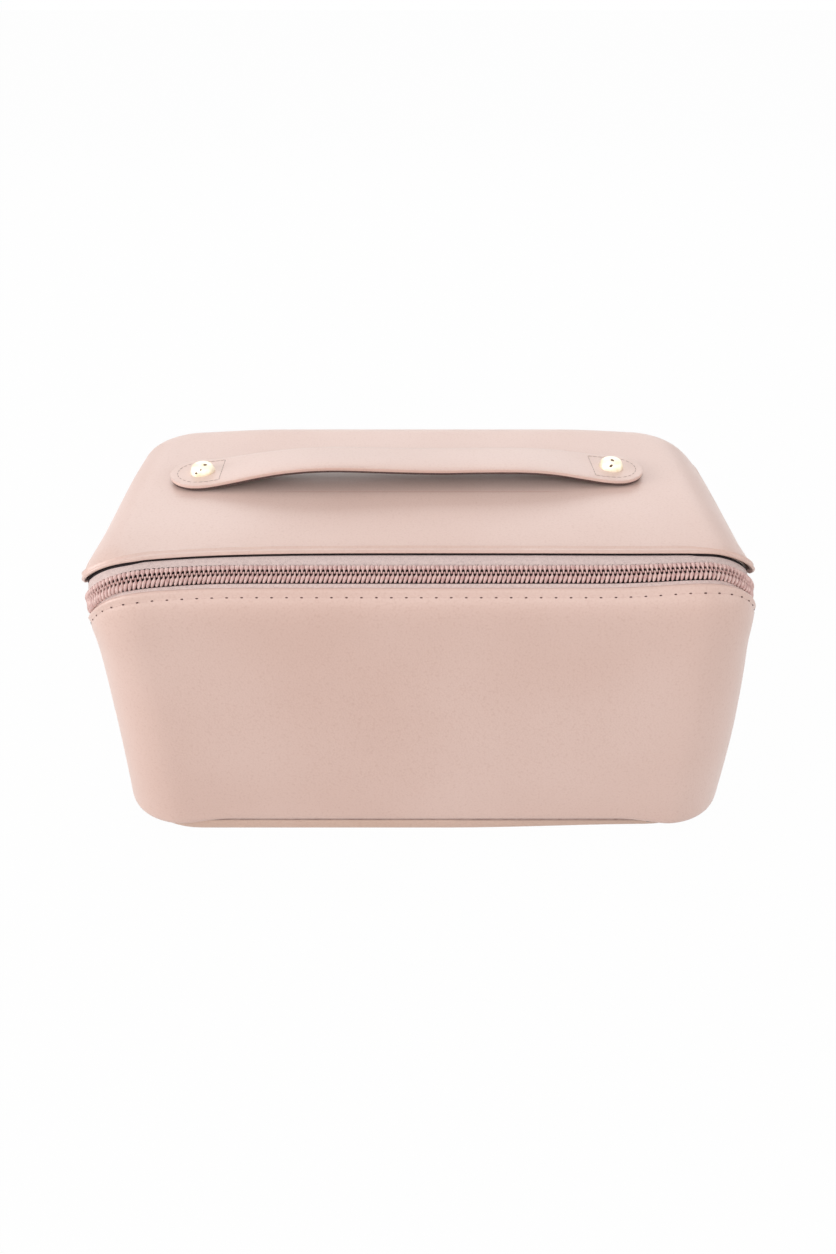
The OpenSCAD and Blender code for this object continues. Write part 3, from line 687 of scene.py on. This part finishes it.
def walk(seam, rise, first, last, spacing, lift=0.0, part="zip"):
    # evenly spaced frames along a seam: a point, forward, up the skin, outwards
    count = int((last - first) / 0.4)
    fine = []
    for i in range(count + 1):
        t = first + (last - first) * i / count
        fine.append(skin(t, seamHeight(seam, t) + rise, lift, part))
    total = [0.0]
    for a, b in zip(fine, fine[1:]):
        total.append(total[-1] + (b[0] - a[0]).length)
    number = int(total[-1] / spacing)
    frames, j = [], 0
    for i in range(number + 1):
        goal = (total[-1] - number * spacing) / 2 + i * spacing
        while j < len(total) - 2 and total[j + 1] < goal:
            j += 1
        k = (goal - total[j]) / max(1e-9, total[j + 1] - total[j])
        normal = fine[j][1].lerp(fine[j + 1][1], k).normalized()
        forward = (fine[j + 1][0] - fine[j][0]).normalized()
        frames.append((fine[j][0].lerp(fine[j + 1][0], k), forward, normal.cross(forward).normalized(), normal))
    return frames


def copyAlong(name, pattern, frames):
    # one copy of the pattern at each frame, all in one mesh
    local = [v.co.copy() for v in pattern.data.vertices]
    polygons = [tuple(p.vertices) for p in pattern.data.polygons]
    points, faces = [], []
    for origin, forward, across, normal in frames:
        first = len(points)
        points += [origin * mm + forward * co.x + across * co.y + normal * co.z for co in local]
        faces += [tuple(i + first for i in polygon) for polygon in polygons]
    mesh = bpy.data.meshes.new(name)
    mesh.from_pydata(points, [], faces)
    piece = bpy.data.objects.new(name, mesh)
    scene.collection.objects.link(piece)
    bpy.data.objects.remove(pattern)
    activate(piece)
    bpy.ops.object.shade_smooth()
    return piece


def turnPattern(rings, slant):
    # one turn of the coil: a rod, cut into rings that are then sized, with its head at the centre line
    length = rings[0][0] - rings[-1][0]
    deselectAll()
    bpy.ops.mesh.primitive_cylinder_add(vertices=8, radius=1 * mm, depth=length * mm, rotation=(pi / 2, 0, 0),
                                        location=(0, (rings[0][0] + rings[-1][0]) / 2 * mm, 0))
    rod = bpy.context.object
    settlePlace(rod)
    for v, *_ in rings[1:-1]:
        editAll(rod)
        bpy.ops.mesh.bisect(plane_co=(0, v * mm, 0), plane_no=(0, 1, 0))
    leaveEdit()
    for vertex in rod.data.vertices:
        v, wide, high = min(rings, key=lambda ring: abs(ring[0] * mm - vertex.co.y))
        vertex.co.x *= wide
        vertex.co.z *= high
        vertex.co.x -= max(0, v - 0.9) * tan(radians(slant)) * mm
    return rod


def coilHalf(name, side):
    # side is -1 on the tub and 1 on the lid; a half's turns lie between the other half's
    frames = walk("chain", 0, zipFirst + 0.6, zipLast - 1.4, zipper["pitch"], zipper["turnLift"])
    if side < 0:
        frames = [(p + f * zipper["pitch"] / 2, -f, -a, n) for p, f, a, n in frames]
    rings, slant = (zipper["upper"], 0) if side > 0 else (zipper["lower"], zipper["slant"])
    return copyAlong(name, turnPattern(rings, slant), frames)


finishPiece(coilHalf("zipCoilLower", -1), coilNylon, "tub", "coil", "zip_coil_lower")
finishPiece(coilHalf("zipCoilUpper", 1), coilNylon, "lid", "coil", "zip_coil_upper")


def bead(length, width, height):
    # a short rounded stitch, needle hole or dash
    deselectAll()
    bpy.ops.mesh.primitive_uv_sphere_add(segments=6, ring_count=5, radius=0.5, rotation=(0, pi / 2, 0))
    piece = bpy.context.object
    settlePlace(piece)
    piece.scale = (length * mm, width * mm, height * mm)
    settlePlace(piece)
    return piece


dashes = walk("chain", zipper["dashRise"], zipFirst + 1, zipLast - 1, zipper["pitch"], zipper["dashLift"])
dashes = [(p, (f + a * 0.28 * sin(i * 2.4)).normalized(), a, n) for i, (p, f, a, n) in enumerate(dashes)]
finishPiece(copyAlong("zipSewing", bead(*zipper["dash"]), dashes), darkCordAndPaintedShade, "lid", "tape")
print("zip made")

# stitching: pale thread that dives into needle holes, shown as dark beads of painted shade
stitch = {"drop": 3.3, "pitch": 4.78, "thread": (3.6, 0.34, 0.3), "hole": (0.95, 0.5, 0.22),
          "padThread": (3.4, 0.4, 0.3), "sunk": 0.12, "first": 87}


def sew(name, frames, body, thickness=1.0):
    threads = copyAlong(name + "Thread", bead(*stitch["thread"]),
                        [(p - n * stitch["sunk"], f, a, n) for p, f, a, n in frames])
    finishPiece(threads, thread, body, "leather")
    # the holes are dark beads on the surface: painted shade in the needle holes
    holes = copyAlong(name + "Holes", bead(*(s * thickness for s in stitch["hole"])),
                      [(p + f * stitch["pitch"] / 2, f, a, n) for p, f, a, n in frames])
    finishPiece(holes, needleHolePaintedShade, body, "leather")


start, end = stitch["first"], wayLength - stitch["first"]
sew("edgeStitch", walk("edge", -stitch["drop"], start, end, stitch["pitch"], -0.1, "tub"), "tub")
print("stitches sewn")

# handle: two leather layers, arched over the lid, box-stitched round a stud at each end
strap = {"length": 176, "width": 23.2, "outer": 1.2, "backing": 1.0, "air": 0.08, "setBack": 0.55, "bed": 109.1,
         "middle": (-4.95, 8.7), "crown": 0.3, "ease": 0.32, "boxStitch": (1.9, 0.3, 0.2), "boxPitch": 2.0,
         "turn": 1.45, "stud": 76.0, "stitchIn": 2.7, "stitchEnd": 68.8, "tilt": 0.28,
         "arch": [(-78, 0.3), (-72.4, 0.8), (-64, 2.4), (-55, 4.4), (-46.2, 6.0), (-37.3, 6.9), (-28.5, 7.2),
                  (-19.8, 7.0), (-11.1, 6.6), (-2.3, 6.2), (12.5, 5.75), (23.5, 5.8), (38.5, 5.7), (47, 5.3),
                  (55.5, 4.2), (64, 2.5), (72, 1.0), (79, 0.3)]}


def onStrap(s, v, z):
    # s along the strap, v across it and z above its underside
    turn = radians(strap["turn"])
    across = v / strap["width"] * 2
    crown = -strap["crown"] * across ** 2 * ease((72 - abs(s)) / 30)
    arch = between(strap["arch"], s) * (1 - strap["tilt"] * ease((across + 1) / 2))
    return Vector((strap["middle"][0] + s * cos(turn) - v * sin(turn),
                   strap["middle"][1] + s * sin(turn) + v * cos(turn),
                   strap["bed"] + arch + crown + z))


def spread(corners, spacing):
    # evenly spaced places along straight runs, each with the direction of its run
    for a, b in zip(corners, corners[1:]):
        run = (b[0] - a[0], b[1] - a[1])
        count = max(1, round(dist(a, b) / spacing))
        for i in range(count):
            k = (i + 0.5) / count
            yield (a[0] + run[0] * k, a[1] + run[1] * k), run


def strapLayer(name, low, thickness, margin):
    columns, rows = 96, 10
    long = strap["length"] / 2 - margin
    half = strap["width"] / 2 - margin

    def place(column, row):
        k = column / columns * 2 - 1
        s = long * (0.55 * k + 0.45 * sin(k * pi / 2))
        tip = abs(s) - (long - half)
        reach = half if tip <= 0 else sqrt(max(0, half * half - tip * tip))
        v = reach * (row / rows * 2 - 1)
        edge = ease((abs(v) - half + 3.2) / 2.2) * 0.12 if tip <= 0 else 0
        return onStrap(s, v, low + thickness - edge * (1 if margin == 0 else 0)), (s, v)
    layer = wrapGrid(name, columns, rows, place)
    thicken(layer, thickness)
    easeEdges(layer, strap["ease"], 3, 55)
    smooth(layer, 50)
    return layer


outerLayer = strapLayer("handleStrap", strap["backing"] + strap["air"], strap["outer"], 0)
finishPiece(outerLayer, leather, "lid", "leather", "handle_strap")
# the backing is set back under the outer layer, dark brown as painted shade beneath its edge
backingLayer = strapLayer("handleBacking", 0, strap["backing"], strap["setBack"])
finishPiece(backingLayer, backingPaintedShade, "lid", "leather", "handle_backing")


def boxPath(side):
    # the stitched outline round one stud: across the strap, along it and round the tip
    radius = strap["width"] / 2 - strap["stitchIn"]
    tip = strap["length"] / 2 - strap["width"] / 2
    corners = [(strap["stitchEnd"], -radius), (strap["stitchEnd"], radius), (tip, radius)]
    for angle in (radians(a) for a in range(15, 180, 15)):
        corners.append((tip + radius * sin(angle), radius * cos(angle)))
    corners += [(tip, -radius), (strap["stitchEnd"], -radius)]
    top = strap["backing"] + strap["air"] + strap["outer"]
    frames, up = [], Vector((0, 0, 1))
    for here, run in spread(corners, strap["boxPitch"]):
        ahead = (here[0] + run[0] * 0.01, here[1] + run[1] * 0.01)
        p, q = (onStrap(side * s, v, top) for s, v in (here, ahead))
        forward = (q - p).normalized()
        frames.append((p, forward, up.cross(forward).normalized(), up))
    return frames


boxFrames = boxPath(-1) + boxPath(1)
finishPiece(copyAlong("boxStitch", bead(*strap["boxStitch"]), boxFrames), waxedThreadAndPaintedJointShade, "lid", "leather")
print("strap made")

# studs: a low dome, with a few small brown marks on it that are painted dark reflections
stud = {"wide": 9.0, "dome": 4.6, "flat": 0.16, "sunk": 0.05, "nick": (1.0, 0.66, 0.35),
        # place, size and turn of each painted dark reflection, by side
        "nicks": {-1: [(1.5, -1.4, 1.5, 20), (0.15, -3.7, 0.8, 80), (-1.7, -3.95, 1.15, -10)],
                  1: [(0.0, -1.7, 1.6, -40), (-0.7, -3.8, 1.4, 45)]}}


def domeHeight(r):
    # the dome's height above its flange at this share of its radius
    rise = sqrt(max(0, 1 - r * r))
    return stud["dome"] * rise * (1 - stud["flat"] * ease((rise - 0.5) / 0.5))


def studPiece(name, side):
    centre = onStrap(side * strap["stud"], 0, strap["backing"] + strap["outer"] - stud["sunk"])
    deselectAll()
    bpy.ops.mesh.primitive_uv_sphere_add(segments=40, ring_count=24, radius=1)
    dome = bpy.context.object
    dome.name = name
    editAll(dome)
    bpy.ops.mesh.bisect(plane_co=(0, 0, 0), plane_no=(0, 0, 1), clear_inner=True, use_fill=True)
    leaveEdit()
    for vertex in dome.data.vertices:
        x, y, z = vertex.co
        rise = domeHeight(hypot(x, y)) if z > 0.01 else 0
        vertex.co = Vector((x * stud["wide"] / 2, y * stud["wide"] / 2, rise)) * mm
    dome.location = centre * mm
    settlePlace(dome)
    smooth(dome, 60)
    frames, half = [], stud["wide"] / 2
    for x, y, size, turn in stud["nicks"][side]:
        z = domeHeight(hypot(x, y) / half)
        normal = Vector((x / half ** 2, y / half ** 2, z / stud["dome"] ** 2)).normalized()
        forward = Vector((cos(radians(turn)), sin(radians(turn)), 0))
        forward = (forward - normal * forward.dot(normal)).normalized()
        frames.append((centre + Vector((x, y, z + 0.02)), forward * size, normal.cross(forward) * size, normal))
    # brown beads on the dome: painted dark reflections
    finishPiece(copyAlong(name + "Nicks", bead(*stud["nick"]), frames), darkReflectionPaint, "lid", "gold")
    return finishPiece(dome, satinGold, "lid", "gold", "handle_studs")


studPiece("handleStudLeft", -1)
studPiece("handleStudRight", 1)
print("studs made")


# copies of solids: how near points merge, in mm, and which angles are flat and which are smooth, in degrees
softened = {"merge": 0.004, "flat": 1.0, "smooth": 40}


def nodeCopy(node, bevel=0.0, levels=(), part=None):
    # a softened copy of a solid: merged, its flat faces joined, cut at some heights and stuffed
    first, *rest = node.split("_")
    name = first + "".join(word.title() for word in rest)
    piece = bpy.data.objects.new(name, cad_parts[node].data.copy())
    scene.collection.objects.link(piece)
    editAll(piece)
    bpy.ops.mesh.remove_doubles(threshold=softened["merge"] * mm)
    bpy.ops.mesh.dissolve_limited(angle_limit=radians(softened["flat"]))
    for z in levels:
        bpy.ops.mesh.select_all(action="SELECT")
        bpy.ops.mesh.bisect(plane_co=(0, 0, z * mm), plane_no=(0, 0, 1))
    leaveEdit()
    if part:
        for vertex in piece.data.vertices:
            vertex.co = stuffed(vertex.co / mm, part) * mm
    if bevel:
        easeEdges(piece, bevel)
    smooth(piece, softened["smooth"])
    return piece


# what follows the skin inside and at the back
levels = (12, 24, 36, 48, 60, 68, 76, 82, 87, 92, 97, 102)
for node, material, body, slotName, bevel in (
        ("tub_foam", foamSheet, "tub", "foam", 0), ("tub_lining", liningCloth, "tub", "lining", 0),
        ("mouth_binding", leather, "tub", "leather", 0.2), ("base_board", fibreBoard, "tub", "board", 0),
        ("back_fold_lower", leather, "tub", "leather", 0.25), ("zip_end_stops", gold, "tub", "gold", 0.15),
        ("lid_foam", foamSheet, "lid", "foam", 0), ("lid_lining", liningCloth, "lid", "lining", 0),
        ("lid_binding", leather, "lid", "leather", 0), ("back_fold_upper", leather, "lid", "leather", 0.25)):
    finishPiece(nodeCopy(node, bevel, levels, "inside"), material, body, slotName, node)
print("linings and bindings made")

# the brush tray and its dust flap
for node, material, body, slotName, bevel in (
        ("brush_board", liningCloth, "lid", "lining", 0.7), ("brush_loops", elasticCloth, "lid", "elastic", 0.2),
        ("flap_rail_front", leather, "lid", "leather", 0.7), ("flap_rail_back", leather, "lid", "leather", 0.7),
        ("flap_loop_tape", hookCloth, "lid", "hook", 0.2), ("flap_binding", leather, "flap", "leather", 0.45),
        ("flap_hook_tape", hookCloth, "flap", "hook", 0.2)):
    finishPiece(nodeCopy(node, bevel), material, body, slotName, node)
flapFilm = {"left": -77, "front": -34.3, "right": 77, "back": 29.7, "bottom": 93.9, "thick": 0.5, "sag": 0.3,
            "columns": 40, "rows": 16, "ripple": (19, 14)}


def filmPoint(column, row):
    across, along = column / flapFilm["columns"], row / flapFilm["rows"]
    x = flapFilm["left"] + (flapFilm["right"] - flapFilm["left"]) * across
    y = flapFilm["front"] + (flapFilm["back"] - flapFilm["front"]) * along
    edge = sin(pi * across) * sin(pi * along)
    wide, deep = flapFilm["ripple"]
    wave = sin(x / wide + 0.6) * sin(y / deep) * edge * flapFilm["sag"]
    return Vector((x, y, flapFilm["bottom"] + flapFilm["thick"] + 0.05 - abs(wave))), (x, y)


flapSheet = wrapGrid("flapFilm", flapFilm["columns"], flapFilm["rows"], filmPoint)
thicken(flapSheet, flapFilm["thick"])
smooth(flapSheet, 60)
finishPiece(flapSheet, film, "flap", "clear", "dust_flap")
print("tray made")

# dividers: thin foam pads in lining cloth, pinched along a stitched edge
divider = {"middle": 84, "half": 2.0, "deep": 60.6, "low": 5.0, "high": 63.0, "corner": 7, "round": 1.8,
           "seam": 5.0, "seamHalf": 0.9, "pinch": 0.35, "puff": 0.35, "puffOver": 14, "cuts": 31, "fill": 0.6,
           "hookEase": 0.2}


def dividerPad(name, side):
    deselectAll()
    bpy.ops.mesh.primitive_cube_add(size=2)
    pad = bpy.context.object
    pad.name = name
    editAll(pad)
    bpy.ops.mesh.subdivide(number_cuts=divider["cuts"])
    leaveEdit()
    middleZ = (divider["low"] + divider["high"]) / 2
    halfZ = (divider["high"] - divider["low"]) / 2
    for vertex in pad.data.vertices:
        x, v, w = vertex.co
        y, z = divider["deep"] * sin(v * pi / 2), halfZ * sin(w * pi / 2)
        overY, overZ = abs(y) - divider["deep"] + divider["corner"], abs(z) - halfZ + divider["corner"]
        if overY > 0 and overZ > 0 and z > 0:
            reach = max(overY, overZ) / hypot(overY, overZ)
            y = copysign(divider["deep"] - divider["corner"] + overY * reach, y)
            z = copysign(halfZ - divider["corner"] + overZ * reach, z)
        border = min(divider["deep"] - abs(y), halfZ - abs(z))
        round3 = sqrt(max(0, 1 - (1 - min(1, border / divider["round"])) ** 2))
        thick = divider["half"] * (0.35 + 0.65 * round3)
        thick -= divider["pinch"] * exp(-((border - divider["seam"]) / divider["seamHalf"]) ** 2)
        thick += divider["puff"] * ease((border - divider["seam"]) / divider["puffOver"])
        vertex.co = Vector((side * divider["middle"] + x * thick, y, z + middleZ)) * mm
    smooth(pad, 60)
    return pad


def dividerStitches(name, side, body):
    frames = []
    for face in (-1, 1):
        y0 = divider["deep"] - divider["seam"]
        z0, z1 = divider["low"] + divider["seam"], divider["high"] - divider["seam"]
        corners = [(-y0, z0), (y0, z0), (y0, z1), (-y0, z1), (-y0, z0)]
        x, normal = side * divider["middle"] + face * (divider["half"] - divider["pinch"]), Vector((face, 0, 0))
        for (y, z), run in spread(corners, stitch["pitch"]):
            forward = Vector((0, *run)).normalized()
            frames.append((Vector((x, y, z)), forward, normal.cross(forward), normal))
    finishPiece(copyAlong(name, bead(*stitch["padThread"]), frames), thread, body, "lining")


for side, word in ((-1, "left"), (1, "right")):
    body = word + "_divider"
    pad = finishPiece(dividerPad("divider" + word.title(), side), liningCloth, body, "lining", "divider_" + word)
    dividerStitches("dividerStitch" + word.title(), side, body)
    node = "divider_hooks_" + word
    finishPiece(nodeCopy(node, divider["hookEase"]), hookCloth, body, "hook", node)
print("dividers made")

# sliders and pulls: the castings with eased edges, drawn in close to the chain
metal = {"face": 113.45, "draw": 0.62, "slim": 0.86, "level": 88}
for node, body, bevel in (("slider_front", "front_slider", 0.3), ("slider_back", "back_slider", 0.3),
                          ("pull_front", "front_pull", 0.2), ("pull_back", "back_pull", 0.2)):
    piece = nodeCopy(node)
    for vertex in piece.data.vertices:
        x, y, z = vertex.co / mm
        if x > metal["face"]:
            x = metal["face"] + (x - metal["face"]) * metal["draw"]
        vertex.co = Vector((x, y, metal["level"] + (z - metal["level"]) * metal["slim"])) * mm
    easeEdges(piece, bevel)
    smooth(piece, softened["smooth"])
    finishPiece(piece, gold, body, "gold", node)
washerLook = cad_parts["stud_washers"].data.materials
washerLook.clear()
washerLook.append(gold)
print("sliders made")

# seams along the two fold strips at the back
foldSeam = {"levels": ((79.3, "tub"), (86.2, "tub"), (89.8, "lid"), (96.7, "lid")), "half": 16, "face": 66.8,
            "holeShare": 0.8}
for level, body in foldSeam["levels"]:
    frames = []
    for i in range(-foldSeam["half"], foldSeam["half"] + 1):
        place = stuffed((i * stitch["pitch"], foldSeam["face"], level))
        frames.append((place, Vector((-1, 0, 0)), Vector((0, 0, 1)), Vector((0, 1, 0))))
    sew("foldStitch" + str(int(level)), frames, body, foldSeam["holeShare"])
print("folds sewn")

# studio: a pale floor that keeps the shadow, white round it, and five soft lamps: one behind, one overhead,
# one in front and a fill on each side
studio = {"floor": "#cbc9c7", "glow": 0.98, "world": 0.4, "aim": (0, 0, 0.05),
          # place, power, width and height of each lamp
          "lamps": {"backSoftbox": ((0, 1.35, 0.72), 5.0, 1.6, 0.5), "topSoftbox": ((0, 0.3, 1.35), 3.7, 1.6, 1.0),
                    "leftFill": ((-1.4, -0.4, 0.5), 14.0, 0.8, 0.8), "rightFill": ((1.3, -0.5, 0.5), 4.2, 0.8, 0.8),
                    "frontSoftbox": ((0.1, -1.5, 0.95), 11.0, 1.7, 0.9)}}


def whiteRays(tree):
    # the light path, and its share of rays from the camera or off metal, which see white
    rays = addNode(tree, "LightPath")
    seen = addNode(tree, "Math", {"operation": "MAXIMUM"}, {0: (rays, "Is Camera Ray"), 1: (rays, "Is Glossy Ray")})
    return rays, seen


deselectAll()
bpy.ops.mesh.primitive_plane_add(size=12, location=(0, 0, -0.00005))
floor = bpy.context.object
floor.name = "studioFloor"
settlePlace(floor)
floorPaint, tree, shader = startMaterial("mattFloorPaint", {
    "Base Color": linear(studio["floor"]), "Roughness": 0.9})
rays, seen = whiteRays(tree)
white = addNode(tree, "Emission", {"Color": (1, 1, 1, 1), "Strength": 1.0})
share = addNode(tree, "Math", {"operation": "MULTIPLY", 1: studio["glow"]}, {0: seen})
mixed = addNode(tree, "MixShader", {}, {0: share, 1: shader, 2: white})
tree.links.new(mixed.outputs["Shader"], tree.nodes["Material Output"].inputs["Surface"])
floor.data.materials.append(floorPaint)
scene.world = bpy.data.worlds.new("studioWorld")
scene.world.use_nodes = True
tree = scene.world.node_tree
sky = tree.nodes["Background"]
sky.inputs["Color"].default_value = (1, 1, 1, 1)
sky.inputs["Strength"].default_value = studio["world"]
rays, seen = whiteRays(tree)
plain = addNode(tree, "Background", {"Color": (1, 1, 1, 1), "Strength": 1.0})
through = addNode(tree, "Math", {"operation": "MAXIMUM"}, {0: seen, 1: (rays, "Is Transmission Ray")})
mixed = addNode(tree, "MixShader", {}, {0: through, 1: sky, 2: plain})
tree.links.new(mixed.outputs["Shader"], tree.nodes["World Output"].inputs["Surface"])
for name, (place, power, wide, tall) in studio["lamps"].items():
    deselectAll()
    bpy.ops.object.light_add(type="AREA", location=place)
    lamp = bpy.context.object
    lamp.name = name
    lamp.data.energy = power
    lamp.data.shape = "RECTANGLE"
    lamp.data.size, lamp.data.size_y = wide, tall
    lamp.rotation_euler = (Vector(studio["aim"]) - Vector(place)).to_track_quat("-Z", "Y").to_euler()
print("studio lit")
